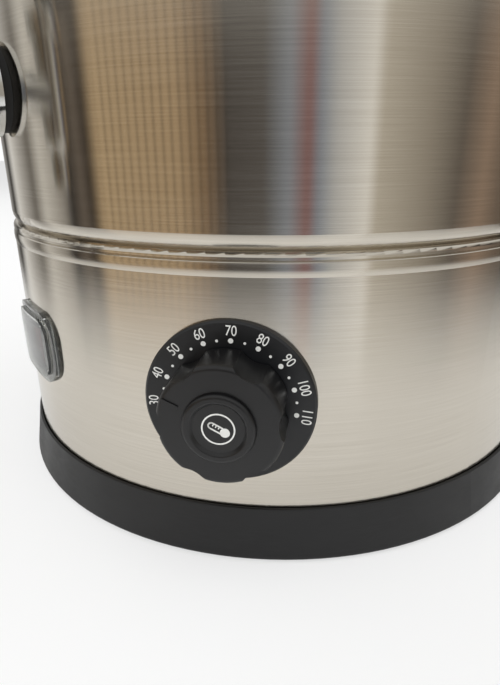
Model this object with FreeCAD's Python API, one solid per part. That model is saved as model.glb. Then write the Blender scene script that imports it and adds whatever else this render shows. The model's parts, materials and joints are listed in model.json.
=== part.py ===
import FreeCAD, Part

import os
from math import asin, cos, degrees, pi, radians, sin, sqrt, tan

from FreeCAD import Matrix, Vector

# Hot water urn, millimetres. The origin is on the body's axis at the table's surface, +Z is up,
# and the tap and the switch face -Y. Azimuths turn from the front towards +X.

# Body: a lower shell that hides the electrics, and the boiling pot that stands on it
body_radius = 140.0
shell_wall = 0.8
seam_height = 125.2
pot_inset = 0.3
pot_wall = 1.0
pot_height = 274.8
pot_corner_height = 5.8
pot_corner_inset = 2.6
pot_inner_corner = 6.8
rim_bead_radius = 2.5

# Lower shell's rolled top edge
shoulder_height = 2.5
shoulder_round = 1.6
dip_height = 1.0
dip_depth = 0.5
bead_height = 5.0
bead_proud = 0.35
hem_thickness = 1.4
flange_wall = 0.8

# Base ring and its rubber foot
foot_proud = 1.0
foot_thickness = 4.0
foot_width = 8.0
foot_inset = 2.0
foot_gap = 0.2
foot_bevel = 0.4
base_height = 22.7
base_flare = 5.1
base_round = 1.6
base_web = 3.3
lip_width = 1.1
lip_round = 0.5
lip_gap = 0.4
ledge_width = 8.5
ledge_thickness = 4.0
plate_wall = 1.2
plate_gap = 0.5
vent_count = 16
vent_circle = 52.0
vent_length = 22.0
vent_width = 4.0

# Fasteners
m4_radius = 2.0
m4_head = 3.6
m4_head_height = 1.4
m4_nut_width = 7.0
m4_nut_height = 3.2
m5_radius = 2.5
m5_head = 4.6
m5_head_height = 2.6
m5_nut_width = 8.0
m5_nut_height = 4.0
slot_width = 1.0
hole_clearance = 0.3
thread_end = 1.5
base_screw_count = 6
base_screw_start = 15.0
stud_count = 4
stud_start = 0.0
stud_inset = 16.0

# Heater under the pot
heat_plate_radius = 72.0
heat_plate_wall = 4.0
element_circle = 55.0
element_radius = 4.0
element_sink = 1.5
element_gap_angle = 40.0
element_middle = 205.0
element_lead_radius = 2.4
element_lead = 22.0
cutout_radius = 8.0
cutout_height = 8.0
cutout_round = 1.0
cutout_tab = (28.0, 9.0, 1.2)

# Thermostat, its dial and its knob
dial_azimuth = 45.76
dial_height = 69.5
dial_radius = 32.3
dial_proud = 2.0
dial_bevel = 0.8
spindle_radius = 3.0
spindle_clearance = 0.05
spindle_depth = 18.0
spindle_end_gap = 1.0
bushing_radius = 5.0
thermostat_screw_pitch = 28.0
thermostat_thread = 5.0
bracket_size = (44.0, 34.0)
bracket_wall = 1.5
bracket_gap = 0.3
thermostat_size = (40.0, 32.0, 27.0)
spade_size = (6.3, 0.8, 9.0)
knob_gap = 0.9
knob_radius = 22.6
knob_height = 16.6
knob_round = 1.8
knob_back_round = 0.4
knob_wall = 2.6
knob_front = 3.2
knob_boss_radius = 6.5
knob_flutes = 6
flute_start = 3.0
flute_floor = 20.4
flute_radius = 10.0
pointer_angle = 155.0
pointer_reach = (15.5, 21.6)
pointer_width = 1.3
pointer_proud = 0.5
cap_radius = 13.0
cap_sink = 1.6
cap_proud = 2.0
cap_dish_radius = 10.2
cap_dish_depth = 1.1
cap_round = 1.4
bulb_radius = 3.0
bulb_length = 62.0
bulb_inset = 42.0
capillary_radius = 0.9
capillary_start = 12.0
capillary_bend = 5.0
capillary_drops = (18.7, 8.7)
capillary_swing = 32.0
capillary_step = 8.0
capillary_lead = 19.0
clip_width = 10.0
clip_wall = 0.8

# Switch
switch_height = 73.8
switch_panel = (30.2, 22.2)
switch_depth = 28.0
switch_bezel = (32.6, 24.0, 3.0)
switch_bezel_proud = 1.5
rocker_size = (24.8, 16.2)
rocker_gap = 1.0
rocker_side_gap = 0.4
rocker_pivot_depth = 7.0
rocker_face_height = 6.6
rocker_dish = 1.2
rocker_skirt = 4.0
rocker_tilt = 6.0
trunnion_radius = 1.2
trunnion_length = 1.2
trunnion_clearance = 0.06
cover_size = (50.0, 33.0, 13.0)
cover_rim_proud = 1.9
cover_window = (40.0, 27.5, 8.5)
cover_window_proud = 3.1
cover_skin = 0.9
cover_gap = 0.2

# Cable gland at the back
gland_height = 55.0
gland_flange_radius = 11.5
gland_flange_wall = 3.0
gland_thread_radius = 8.0
gland_thread_length = 12.0
gland_neck_radius = 8.6
gland_neck = 5.0
gland_bore_radius = 4.2
gland_bore_gap = 0.6
gland_dome_radius = 10.5
gland_dome_height = 15.0
gland_nut_width = 22.0
gland_nut_height = 5.0
gland_seal_wall = 1.5

# Terminal block and earth stud on the bottom plate
block_size = (46.0, 20.0, 18.0)
block_offset = 0.0
block_inset = 58.0
block_ways = 3
block_pitch = 14.0
block_screw_radius = 2.4
block_screw_sink = 1.5
block_entry_radius = 2.0
earth_offset = 42.0
earth_stud_height = 16.0

# Tap
tap_height = 180.0
tap_seal_radius = 16.0
tap_seal_wall = 2.5
tap_flange_radius = 17.5
tap_flange_wall = 4.0
tap_flange_round = 1.4
tap_neck_round = 2.0
tap_shank_radius = 9.9
tap_shank_end = 3.0
tap_lock_wall = 7.0
tap_lock_width = 27.0
tap_inner_seal_wall = 3.0
tap_neck_radius = 8.5
tap_waterway_radius = 6.0
tap_reach = 50.0
barrel_radius = 12.5
barrel_top = 23.0
barrel_bottom = 20.0
chamber_radius = 9.0
seat_depth = 10.0
seat_wall = 5.0
seat_hole_radius = 5.5
spout_length = 40.0
spout_radius = 8.7
spout_bore_radius = 6.5
spout_step = 3.6
bonnet_radius = 16.5
bonnet_height = 11.0
bonnet_spigot = 4.0
bonnet_round = 2.0
spigot_clearance = 0.1
stem_radius = 3.0
stem_clearance = 0.1
cup_radius = 7.6
cup_height = 7.0
cup_gap = 0.05
cup_floor = 1.5
collar_inset = 1.2
collar_wall = 1.5
spring_wire = 0.7
spring_radius = 5.2
spring_turns = 5
lever_arm = 11.0
pivot_height = 7.0
pivot_radius = 1.5
pivot_clearance = 0.05
ear_gap = 14.0
ear_wall = 3.0
ear_radius = 3.8
lever_side_gap = 0.4
lever_hub_radius = 3.4
lever_length = 58.0
lever_rise = 16.0
lever_tip_radius = 3.2
lever_tip_width = 22.0
lever_corner = 12.0
lever_spread = 14.0
prong_width = 2.8
prong_gap = 0.6
prong_radius = 2.2
stem_head_radius = 6.8
stem_head_height = 3.0
stem_head_gap = 0.2

# Carrying handles, one each side
handle_height = 330.0
handle_span = 100.0
handle_reach = 40.0
handle_radius = 9.0
handle_bend = 18.0
handle_foot_radius = 13.0
handle_foot_wall = 8.0
handle_screw_depth = 14.0
handle_washer_radius = 6.0
handle_washer_wall = 1.2

# Lid
lid_wall = 0.8
lid_seat_gap = 0.3
lid_edge_gap = 0.5
lid_edge_depth = 4.0
lid_edge_round = 1.0
lid_rise = 17.0
lid_ledge = 10.0
lid_collar_gap = 1.0
lid_collar_depth = 10.0
vent_radius = 2.5
vent_place = 55.0
lid_knob_radius = 19.0
lid_knob_waist = 8.5
lid_knob_foot = 14.0
lid_knob_height = 30.0
lid_knob_foot_height = 5.0
lid_knob_foot_round = 1.5
lid_knob_neck = (9.0, 14.0)
lid_knob_neck_round = 5.0
lid_knob_head = 10.0
lid_knob_head_rounds = (3.0, 6.0)
lid_knob_screw_depth = 16.0
lid_washer_radius = 9.0
lid_washer_wall = 1.2

# Heights and radii that follow from the sizes above
base_top = foot_proud + base_height
base_radius = body_radius + base_flare
lip_inner = body_radius + lip_gap
lip_outer = lip_inner + lip_width
foot_outer = body_radius - foot_inset
foot_inner = foot_outer - foot_width
stud_circle = body_radius - stud_inset
bulb_offset = body_radius - bulb_inset
block_place = (block_offset, body_radius - block_inset)
earth_place = (earth_offset, body_radius - block_inset)
recess_radius = foot_inner - foot_gap - base_web
ledge_inner = recess_radius - ledge_width
ledge_top = foot_thickness + ledge_thickness
base_screw_circle = (recess_radius + ledge_inner) / 2
shell_inner = body_radius - shell_wall
shell_floor_top = ledge_top + flange_wall
flange_bottom = seam_height - flange_wall
plate_bottom = foot_thickness - plate_wall
pot_radius = body_radius - pot_inset
pot_inner = pot_radius - pot_wall
pot_floor_radius = pot_radius - pot_corner_inset
rim_top = seam_height + pot_height
rim_radius = pot_inner + 2 * rim_bead_radius
heat_plate_bottom = seam_height - heat_plate_wall
dial_face = body_radius + dial_proud
knob_back = dial_face + knob_gap
knob_face = knob_back + knob_height
spindle_end = knob_face - knob_front
bracket_back = sqrt(shell_inner ** 2 - (bracket_size[0] / 2) ** 2) - bracket_gap - bracket_wall
thermostat_back = bracket_back - thermostat_size[2]
rocker_pivot = body_radius - rocker_pivot_depth
spout_line = body_radius + tap_reach
seat_top = tap_height - seat_depth
bonnet_bottom = tap_height + barrel_top
bonnet_top = bonnet_bottom + bonnet_height
pivot_level = bonnet_top + pivot_height
pivot_line = spout_line + lever_arm
stem_head_bottom = pivot_level + prong_radius + stem_head_gap
lid_flange_bottom = rim_top + lid_seat_gap
lid_inner = rim_radius + lid_edge_gap
lid_radius = lid_inner + lid_wall
lid_collar_outer = pot_inner - lid_collar_gap
lid_top = lid_flange_bottom + lid_wall + lid_rise


# Shapes


def rod(radius, start, end):
    start, end = Vector(*start), Vector(*end)
    return Part.makeCylinder(radius, (end - start).Length, start, end - start)


def pipe(inner, outer, start, end):
    return rod(outer, start, end).cut(rod(inner, start, end))


def block(low, high):
    size = Vector(*high) - Vector(*low)
    return Part.makeBox(size.x, size.y, size.z, Vector(*low))


def centred_block(width, height, low, high):
    return block((-width / 2, -height / 2, low), (width / 2, height / 2, high))


def runs(points, radii, closed):
    """Straight edges through the points, with a tangent arc at each corner that has a radius"""
    count = len(points)
    edges, ends = [], []
    for k, (corner, radius) in enumerate(zip(points, radii)):
        if not radius:
            ends.append((corner, corner, None))
            continue
        a = (points[k - 1] - corner).normalize()
        b = (points[(k + 1) % count] - corner).normalize()
        half = a.getAngle(b) / 2
        middle = corner + (a + b).normalize() * (radius / sin(half) - radius)
        back = radius / tan(half)
        ends.append((corner + a * back, corner + b * back, middle))
    for k, (start, end, middle) in enumerate(ends):
        if middle:
            edges.append(Part.Arc(start, middle, end).toShape())
        after = ends[(k + 1) % count][0]
        if (closed or k + 1 < count) and (after - end).Length > 1e-6:
            edges.append(Part.LineSegment(end, after).toShape())
    return Part.Wire(edges)


def outline(steps, lift):
    """A face from (x, y) corners, or (x, y, radius) for a round one, lifted into space"""
    points = [lift(step[0], step[1]) for step in steps]
    radii = [step[2] if len(step) == 3 else 0 for step in steps]
    return Part.Face(runs(points, radii, True))


def turned(*steps):
    """A solid turned about Z from its half section of (radius, height) corners"""
    face = outline(steps, lambda r, z: Vector(r, 0, z))
    return face.revolve(Vector(0, 0, 0), Vector(0, 0, 1), 360)


def slab(*steps, low, high):
    """A flat outline in X and Y, from one Z to another"""
    face = outline(steps, lambda x, y: Vector(x, y, low))
    return face.extrude(Vector(0, 0, high - low))


def side_slab(*steps, half_width):
    """An outline of (outward, height) corners at the front, as wide to both sides of X = 0"""
    face = outline(steps, lambda out, z: Vector(-half_width, -out, z))
    return face.extrude(Vector(2 * half_width, 0, 0))


def rounded_slab(width, height, corner, low, high):
    x, y = width / 2, height / 2
    corners = [(x, y, corner), (-x, y, corner), (-x, -y, corner), (x, -y, corner)]
    return slab(*corners, low=low, high=high)


def hex_slab(width, low, high):
    reach = width / sqrt(3)
    corners = [(reach * cos(pi * k / 3), reach * sin(pi * k / 3)) for k in range(6)]
    return slab(*corners, low=low, high=high)


def tube_along(points, radius, bend_radius):
    """A round tube of straight runs joined by tangent arcs"""
    points = [Vector(*p) for p in points]
    radii = [0] + [bend_radius] * (len(points) - 2) + [0]
    section = Part.Wire([Part.makeCircle(radius, points[0], points[1] - points[0])])
    return runs(points, radii, False).makePipeShell([section], True, False)


def tangent_corner(run, rise):
    """An arc leaves along its run and departs from it by its rise: its corner and its radius"""
    square = run ** 2 + rise ** 2
    return square / (2 * run), square / (2 * rise)


def bulge(radius, low, high, proud):
    """The corner of one arc that stands out from a wall between two heights"""
    half = (high - low) / 2
    arc = (half ** 2 + proud ** 2) / (2 * proud)
    return radius + half * half / (arc - proud), low + half, arc


def on_body(shape, azimuth, height=0.0):
    """Turns a shape with X to the right, Y up and Z outward to its azimuth and height"""
    c, s = cos(radians(azimuth)), sin(radians(azimuth))
    placed = shape.copy()
    placed.transformShape(Matrix(c, 0, s, 0, s, 0, -c, 0, 0, 1, 0, height, 0, 0, 0, 1))
    return placed


def body_core(radius):
    """The body's inside up to a radius, for a shape that is drawn before on_body turns it"""
    return rod(radius, (0, -seam_height, 0), (0, seam_height, 0))


def around(shape, count, start=0.0):
    """Copies of a shape at even turns about Z"""
    return [turned_by(shape, start + 360.0 * k / count) for k in range(count)]


def turned_by(shape, angle):
    return shape.copy().rotate(Vector(0, 0, 0), Vector(0, 0, 1), angle)


def screw(radius, head_radius, head_height, length):
    """A slotted pan head screw on +Z, with the underside of its head at the origin"""
    body = turned(
        (0, -head_height), (head_radius, -head_height, head_height * 0.6), (head_radius, 0),
        (radius, 0), (radius, length, radius * 0.3), (0, length),
    )
    slot = centred_block(2 * head_radius, slot_width, -head_height, -head_height * 0.55)
    return body.cut(slot)


def nut(radius, width, height):
    return hex_slab(width, 0, height).cut(rod(radius, (0, 0, 0), (0, 0, height)))


def lifted(shape, x=0.0, y=0.0, z=0.0):
    return shape.copy().translate(Vector(x, y, z))


def group(shapes):
    return Part.makeCompound(shapes)


# Base


def base_screw_holes():
    hole = rod(m4_radius + hole_clearance, (0, -base_screw_circle, 0), (0, -base_screw_circle, base_top))
    return around(hole, base_screw_count, base_screw_start)


def base_ring():
    ring = turned(
        (recess_radius, foot_proud),
        (foot_inner - foot_gap, foot_proud),
        (foot_inner - foot_gap, foot_thickness),
        (foot_outer + foot_gap, foot_thickness),
        (foot_outer + foot_gap, foot_proud),
        (base_radius, foot_proud, base_round),
        (lip_outer, base_top, lip_round),
        (lip_inner, base_top),
        (lip_inner, ledge_top),
        (ledge_inner, ledge_top),
        (ledge_inner, foot_thickness),
        (recess_radius, foot_thickness),
    )
    return ring.cut(base_screw_holes())


def foot_ring():
    return turned(
        (foot_inner, 0, foot_bevel), (foot_outer, 0, foot_bevel),
        (foot_outer, foot_thickness), (foot_inner, foot_thickness),
    )


def bottom_plate():
    plate = turned(
        (0, plate_bottom), (recess_radius - plate_gap, plate_bottom),
        (recess_radius - plate_gap, foot_thickness), (0, foot_thickness),
    )
    slot = rounded_slab(vent_width, vent_length, vent_width * 0.49, plate_bottom, foot_thickness)
    vents = around(lifted(slot, y=-vent_circle), vent_count)
    return plate.cut(base_screw_holes() + vents)


def base_screws():
    length = shell_floor_top - plate_bottom + m4_nut_height + thread_end
    one = screw(m4_radius, m4_head, m4_head_height, length)
    one = lifted(one, y=-base_screw_circle, z=plate_bottom)
    return group(around(one, base_screw_count, base_screw_start))


def base_nuts():
    one = lifted(nut(m4_radius, m4_nut_width, m4_nut_height), y=-base_screw_circle, z=shell_floor_top)
    return group(around(one, base_screw_count, base_screw_start))


# Lower shell


def skirt_shell():
    shoulder_bottom = seam_height - shoulder_height
    dip_bottom = shoulder_bottom - dip_height
    bead_bottom = dip_bottom - bead_height
    hem_inner = body_radius - hem_thickness
    shell = turned(
        (body_radius, ledge_top),
        (body_radius, bead_bottom),
        bulge(body_radius, bead_bottom, dip_bottom, bead_proud),
        (body_radius, dip_bottom),
        (body_radius - dip_depth, dip_bottom + dip_height / 2),
        (body_radius, shoulder_bottom),
        (body_radius, seam_height, shoulder_round),
        (ledge_inner, seam_height),
        (ledge_inner, flange_bottom),
        (hem_inner, flange_bottom),
        (hem_inner, bead_bottom),
        (shell_inner, bead_bottom - hem_thickness),
        (shell_inner, shell_floor_top),
        (ledge_inner, shell_floor_top),
        (ledge_inner, ledge_top),
    )
    return shell.cut(base_screw_holes() + stud_holes() + shell_openings())


def stud_holes():
    hole = rod(m5_radius + hole_clearance, (0, -stud_circle, flange_bottom), (0, -stud_circle, seam_height))
    return around(hole, stud_count, stud_start)


def shell_openings():
    inside, outside = body_radius - hem_thickness - 10, body_radius + 10
    bushing = rod(bushing_radius + hole_clearance, (0, 0, inside), (0, 0, outside))
    screws = [
        rod(m4_radius + hole_clearance, (x, 0, inside), (x, 0, outside)) for x in thermostat_screw_places()
    ]
    panel = centred_block(
        switch_panel[0] + 2 * cover_gap, switch_panel[1] + 2 * cover_gap, inside, outside
    )
    gland = rod(gland_thread_radius + hole_clearance, (0, 0, inside), (0, 0, outside))
    return [
        on_body(group([bushing] + screws), dial_azimuth, dial_height),
        on_body(panel, 0, switch_height),
        on_body(gland, 180, gland_height),
    ]


# Pot


def boiling_pot():
    corner, corner_arc = tangent_corner(pot_corner_height, pot_corner_inset)
    floor_top = seam_height + pot_wall
    rim_bottom = rim_top - 2 * rim_bead_radius
    pot = turned(
        (0, seam_height),
        (pot_floor_radius, seam_height),
        (pot_radius, seam_height + pot_corner_height - corner, corner_arc),
        (pot_radius, rim_bottom),
        (rim_radius, rim_bottom, rim_bead_radius),
        (rim_radius, rim_top, rim_bead_radius),
        (pot_inner, rim_top, rim_bead_radius),
        (pot_inner, floor_top, pot_inner_corner),
        (0, floor_top),
    )
    tap_hole = rod(
        tap_shank_radius + hole_clearance, (0, -body_radius - 10, tap_height),
        (0, 0, tap_height),
    )
    return pot.cut([tap_hole] + handle_screw_holes())


def pot_studs():
    length = flange_wall + m5_nut_height + thread_end
    one = rod(m5_radius, (0, -stud_circle, seam_height), (0, -stud_circle, seam_height - length))
    return group(around(one, stud_count, stud_start))


def pot_nuts():
    one = lifted(
        nut(m5_radius, m5_nut_width, m5_nut_height), y=-stud_circle, z=flange_bottom - m5_nut_height
    )
    return group(around(one, stud_count, stud_start))


# Heater


def element_ring():
    """The heater's open ring, with its two ends turned down"""
    level = heat_plate_bottom - element_radius + element_sink
    circle = Part.makeCircle(element_radius, Vector(element_circle, 0, level), Vector(0, 1, 0))
    face = Part.Face(Part.Wire([circle]))
    sweep = 360 - element_gap_angle
    first = element_middle - sweep / 2
    ring = turned_by(face.revolve(Vector(0, 0, 0), Vector(0, 0, 1), sweep), first)
    ends = []
    for angle in (first, first + sweep):
        x, y = element_circle * cos(radians(angle)), element_circle * sin(radians(angle))
        elbow = Part.makeSphere(element_radius, Vector(x, y, level))
        ends += [elbow, rod(element_lead_radius, (x, y, level), (x, y, level - element_lead))]
    return ring, ends


def heat_plate():
    disc = rod(heat_plate_radius, (0, 0, heat_plate_bottom), (0, 0, seam_height))
    ring, ends = element_ring()
    return disc.cut([ring] + ends)


def heating_element():
    ring, ends = element_ring()
    return ring.fuse(ends)


def thermal_cutout():
    low = heat_plate_bottom - cutout_height
    can = turned(
        (0, low), (cutout_radius, low, cutout_round), (cutout_radius, heat_plate_bottom),
        (0, heat_plate_bottom),
    )
    tab_length, tab_width, tab_wall = cutout_tab
    tab = lifted(
        rounded_slab(tab_length, tab_width, tab_width * 0.49, -tab_wall, 0), z=heat_plate_bottom
    )
    blades = [
        lifted(centred_block(spade_size[1], spade_size[0], -spade_size[2], 0), x=x, z=low)
        for x in (-cutout_radius / 2, cutout_radius / 2)
    ]
    return can.fuse([tab] + blades)


# Thermostat, drawn with Z outward through the dial's middle


def thermostat_screw_places():
    return -thermostat_screw_pitch / 2, thermostat_screw_pitch / 2


def thermostat_bracket():
    plate = centred_block(*bracket_size, bracket_back, bracket_back + bracket_wall)
    hole = rod(m4_radius + hole_clearance, (0, 0, 0), (0, 0, body_radius))
    holes = [lifted(hole, x=x) for x in thermostat_screw_places()]
    middle = rod(bushing_radius + hole_clearance, (0, 0, 0), (0, 0, body_radius))
    return on_body(plate.cut(holes + [middle]), dial_azimuth, dial_height)


def thermostat_body():
    width, height, _ = thermostat_size
    case = centred_block(width, height, thermostat_back, bracket_back)
    bushing = rod(bushing_radius, (0, 0, bracket_back), (0, 0, body_radius + dial_proud / 2))
    bore = rod(
        spindle_radius + spindle_clearance,
        (0, 0, bracket_back - spindle_depth - spindle_end_gap), (0, 0, body_radius + dial_proud),
    )
    threads = [
        rod(m4_radius, (x, 0, bracket_back - thermostat_thread), (x, 0, bracket_back))
        for x in thermostat_screw_places()
    ]
    blades = [
        lifted(centred_block(spade_size[1], spade_size[0], -spade_size[2], 0), x=x, z=thermostat_back)
        for x in thermostat_screw_places()
    ]
    return on_body(case.fuse([bushing] + blades).cut([bore] + threads), dial_azimuth, dial_height)


def thermostat_screws():
    length = dial_face - bracket_back + thermostat_thread
    one = screw(m4_radius, m4_head, m4_head_height, length).mirror(Vector(0, 0, 0), Vector(0, 0, 1))
    return on_body(
        group([lifted(one, x=x, z=dial_face) for x in thermostat_screw_places()]),
        dial_azimuth, dial_height,
    )


def bulb_level():
    return seam_height - bulb_radius - dial_height


def thermostat_bulb():
    y = bulb_level()
    one = rod(bulb_radius, (-bulb_length / 2, y, bulb_offset), (bulb_length / 2, y, bulb_offset))
    return on_body(one, dial_azimuth, dial_height)


def bulb_clip():
    y, reach, half = bulb_level(), bulb_radius + clip_wall, clip_width / 2
    top = y + bulb_radius
    strap = block((-half, y - reach, bulb_offset - reach), (half, top, bulb_offset + reach))
    tabs = block((-half, top - clip_wall, bulb_offset - 3 * reach), (half, top, bulb_offset + 3 * reach))
    room = block((-half, y, bulb_offset - bulb_radius), (half, top, bulb_offset + bulb_radius))
    bulb = rod(bulb_radius, (-half, y, bulb_offset), (half, y, bulb_offset))
    return on_body(strap.fuse(tabs).cut([bulb, room]), dial_azimuth, dial_height)


def capillary_tube():
    y = bulb_level()
    top = thermostat_size[1] / 2
    start, end = capillary_start, bulb_length / 2
    first_drop, second_drop = capillary_drops
    middle = thermostat_back + thermostat_size[2] / 2
    points = [
        (start, top, middle),
        (start, y - first_drop, middle),
        (start + capillary_swing, y - second_drop, middle - capillary_step),
        (end + capillary_lead, y, bulb_offset),
        (end, y, bulb_offset),
    ]
    return on_body(tube_along(points, capillary_radius, capillary_bend), dial_azimuth, dial_height)


def dial_plate():
    disc = turned(
        (0, body_radius - 2 * dial_radius ** 2 / body_radius),
        (dial_radius, body_radius - 2 * dial_radius ** 2 / body_radius),
        (dial_radius, dial_face - dial_bevel),
        (dial_radius - dial_bevel, dial_face),
        (0, dial_face),
    )
    hole = rod(m4_radius + hole_clearance, (0, 0, 0), (0, 0, dial_face))
    holes = [lifted(hole, x=x) for x in thermostat_screw_places()]
    middle = rod(bushing_radius + hole_clearance, (0, 0, 0), (0, 0, dial_face))
    return on_body(disc.cut([body_core(body_radius), middle] + holes), dial_azimuth, dial_height)


def thermostat_spindle():
    one = rod(spindle_radius, (0, 0, bracket_back - spindle_depth), (0, 0, spindle_end))
    return on_body(one, dial_azimuth, dial_height)


def thermostat_knob():
    inner_face = knob_face - knob_front
    outer = turned(
        (0, knob_back), (knob_radius, knob_back, knob_back_round),
        (knob_radius, knob_face, knob_round), (0, knob_face),
    )
    hollow = turned(
        (knob_boss_radius, knob_back), (flute_floor - knob_wall, knob_back),
        (flute_floor - knob_wall, inner_face), (knob_boss_radius, inner_face),
    )
    flute = rod(
        flute_radius, (flute_floor + flute_radius, 0, knob_back), (flute_floor + flute_radius, 0, knob_face)
    )
    bore = rod(spindle_radius, (0, 0, knob_back), (0, 0, inner_face))
    seat = rod(cap_radius, (0, 0, knob_face - cap_sink), (0, 0, knob_face))
    low, high = pointer_reach
    pointer = block(
        (low, -pointer_width / 2, knob_face - pointer_proud),
        (high, pointer_width / 2, knob_face + pointer_proud),
    )
    knob = outer.cut([hollow, bore, seat] + around(flute, knob_flutes, flute_start))
    return on_body(knob.fuse(turned_by(pointer, pointer_angle)), dial_azimuth, dial_height)


def knob_cap():
    top = knob_face + cap_proud
    dish = top - cap_dish_depth
    cap = turned(
        (0, knob_face - cap_sink), (cap_radius, knob_face - cap_sink), (cap_radius, top, cap_round),
        (cap_dish_radius, top, cap_round / 2), (cap_dish_radius - cap_dish_depth, dish), (0, dish),
    )
    return on_body(cap, dial_azimuth, dial_height)


# Switch, drawn with Z outward through its middle


def shell_layer(shape, proud):
    """What a shape has between the lower shell's outside and a layer over it"""
    return shape.common(body_core(body_radius + proud)).cut(body_core(body_radius))


def switch_housing():
    width, height, corner = switch_bezel
    outside = body_radius + switch_bezel_proud
    back = body_radius - switch_depth
    case = centred_block(*switch_panel, back, outside).common(body_core(outside))
    bezel = shell_layer(rounded_slab(width, height, corner, body_radius - 10, outside), switch_bezel_proud)
    cavity = centred_block(
        rocker_size[0] + 2 * rocker_gap, rocker_size[1] + 2 * rocker_side_gap,
        rocker_pivot - rocker_skirt - rocker_gap * 2, outside,
    )
    half = rocker_size[1] / 2 + trunnion_length + rocker_side_gap
    bore = rod(trunnion_radius + trunnion_clearance, (0, -half, rocker_pivot), (0, half, rocker_pivot))
    return on_body(case.fuse(bezel).cut([cavity, bore]), 0, switch_height)


def switch_terminals():
    back = body_radius - switch_depth
    blades = [
        lifted(centred_block(spade_size[1], spade_size[0], -spade_size[2], 0), x=x, y=y, z=back)
        for x in (-switch_panel[0] / 4, switch_panel[0] / 4)
        for y in (-switch_panel[1] / 4, switch_panel[1] / 4)
    ]
    return on_body(group(blades), 0, switch_height)


def rocker_button():
    half, face = rocker_size[0] / 2, rocker_face_height
    steps = [
        (half, face), (half, 0), (half / 3, -rocker_skirt), (-half / 3, -rocker_skirt),
        (-half, 0), (-half, face), (0, face - rocker_dish, 8 * half),
    ]
    face_shape = outline(steps, lambda x, out: Vector(x, -rocker_size[1] / 2, out))
    button = face_shape.extrude(Vector(0, rocker_size[1], 0))
    reach = rocker_size[1] / 2 + trunnion_length
    button = button.fuse(rod(trunnion_radius, (0, -reach, 0), (0, reach, 0)))
    button.rotate(Vector(0, 0, 0), Vector(0, 1, 0), -rocker_tilt)
    return on_body(lifted(button, z=rocker_pivot), 0, switch_height)


def switch_cover():
    width, height, corner = cover_size
    rim = shell_layer(
        rounded_slab(width, height, corner, body_radius - 10, body_radius + 10), cover_rim_proud
    )
    window_width, window_height, window_corner = cover_window
    window = shell_layer(
        rounded_slab(window_width, window_height, window_corner, body_radius - 10, body_radius + 10),
        cover_window_proud,
    )
    bezel_width, bezel_height, bezel_corner = switch_bezel
    room = rounded_slab(
        bezel_width + 2 * cover_gap, bezel_height + 2 * cover_gap, bezel_corner,
        body_radius - 20, body_radius + 10,
    ).common(body_core(body_radius + cover_window_proud - cover_skin))
    return on_body(rim.fuse(window).cut(room), 0, switch_height)


# Cable gland, drawn with Z outward through its middle


def gland_body():
    inside = shell_inner - gland_thread_length
    face = body_radius + gland_seal_wall
    flange_top = face + gland_flange_wall
    neck_top = flange_top + gland_neck
    wide = gland_bore_radius + gland_bore_gap
    body = turned(
        (wide, inside), (gland_thread_radius, inside), (gland_thread_radius, face),
        (gland_flange_radius, face), (gland_flange_radius, flange_top, 0.6),
        (gland_neck_radius, flange_top), (gland_neck_radius, neck_top), (wide, neck_top),
    )
    return on_body(body, 180, gland_height)


def gland_dome_nut():
    low = body_radius + gland_seal_wall + gland_flange_wall
    neck_top = low + gland_neck
    top = low + gland_dome_height
    dome = turned(
        (gland_neck_radius, low), (gland_dome_radius, low),
        (gland_dome_radius, top, gland_dome_radius / 2),
        (gland_bore_radius, top), (gland_bore_radius, neck_top), (gland_neck_radius, neck_top),
    )
    return on_body(dome, 180, gland_height)


def gland_seal():
    ring = pipe(
        gland_thread_radius, gland_flange_radius, (0, 0, body_radius - gland_seal_wall),
        (0, 0, body_radius + gland_seal_wall),
    )
    return on_body(ring.cut(body_core(body_radius)), 180, gland_height)


def gland_lock_nut():
    top = sqrt(shell_inner ** 2 - (gland_nut_width / sqrt(3)) ** 2)
    ring = hex_slab(gland_nut_width, top - gland_nut_height, top)
    return on_body(
        ring.cut(rod(gland_thread_radius, (0, 0, 0), (0, 0, body_radius))), 180, gland_height
    )


# Terminal block and earth stud


def block_ways_x():
    return [block_pitch * (k - (block_ways - 1) / 2) for k in range(block_ways)]


def terminal_block():
    width, depth, height = block_size
    x, y = block_place
    base = lifted(centred_block(width, depth, 0, height), x=x, y=y, z=foot_thickness)
    wells = [
        rod(block_screw_radius, (x + way, y + side * depth / 4, foot_thickness + height / 2),
            (x + way, y + side * depth / 4, foot_thickness + height))
        for way in block_ways_x() for side in (-1, 1)
    ]
    entries = [
        rod(block_entry_radius, (x + way, y - depth / 2, foot_thickness + height / 2),
            (x + way, y + depth / 2, foot_thickness + height / 2))
        for way in block_ways_x()
    ]
    return base.cut(wells + entries)


def terminal_screws():
    _, depth, height = block_size
    x, y = block_place
    top = foot_thickness + height - block_screw_sink
    return group([
        rod(block_screw_radius, (x + way, y + side * depth / 4, foot_thickness + height / 2 + block_entry_radius),
            (x + way, y + side * depth / 4, top))
        for way in block_ways_x() for side in (-1, 1)
    ])


def earth_stud():
    x, y = earth_place
    stud = rod(m5_radius, (x, y, foot_thickness), (x, y, foot_thickness + earth_stud_height))
    washer = rod(m5_head, (x, y, foot_thickness), (x, y, foot_thickness + plate_wall))
    hexagon = lifted(nut(m5_radius, m5_nut_width, m5_nut_height), x, y, foot_thickness + plate_wall)
    return stud.fuse([washer, hexagon])


# Tap, drawn in place; its parts on the level line are drawn with Z outward


def tap_outer_seal():
    ring = pipe(
        tap_shank_radius, tap_seal_radius, (0, 0, pot_radius - tap_seal_wall),
        (0, 0, pot_radius + tap_seal_wall),
    )
    return on_body(ring.cut(body_core(pot_radius)), 0, tap_height)


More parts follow.
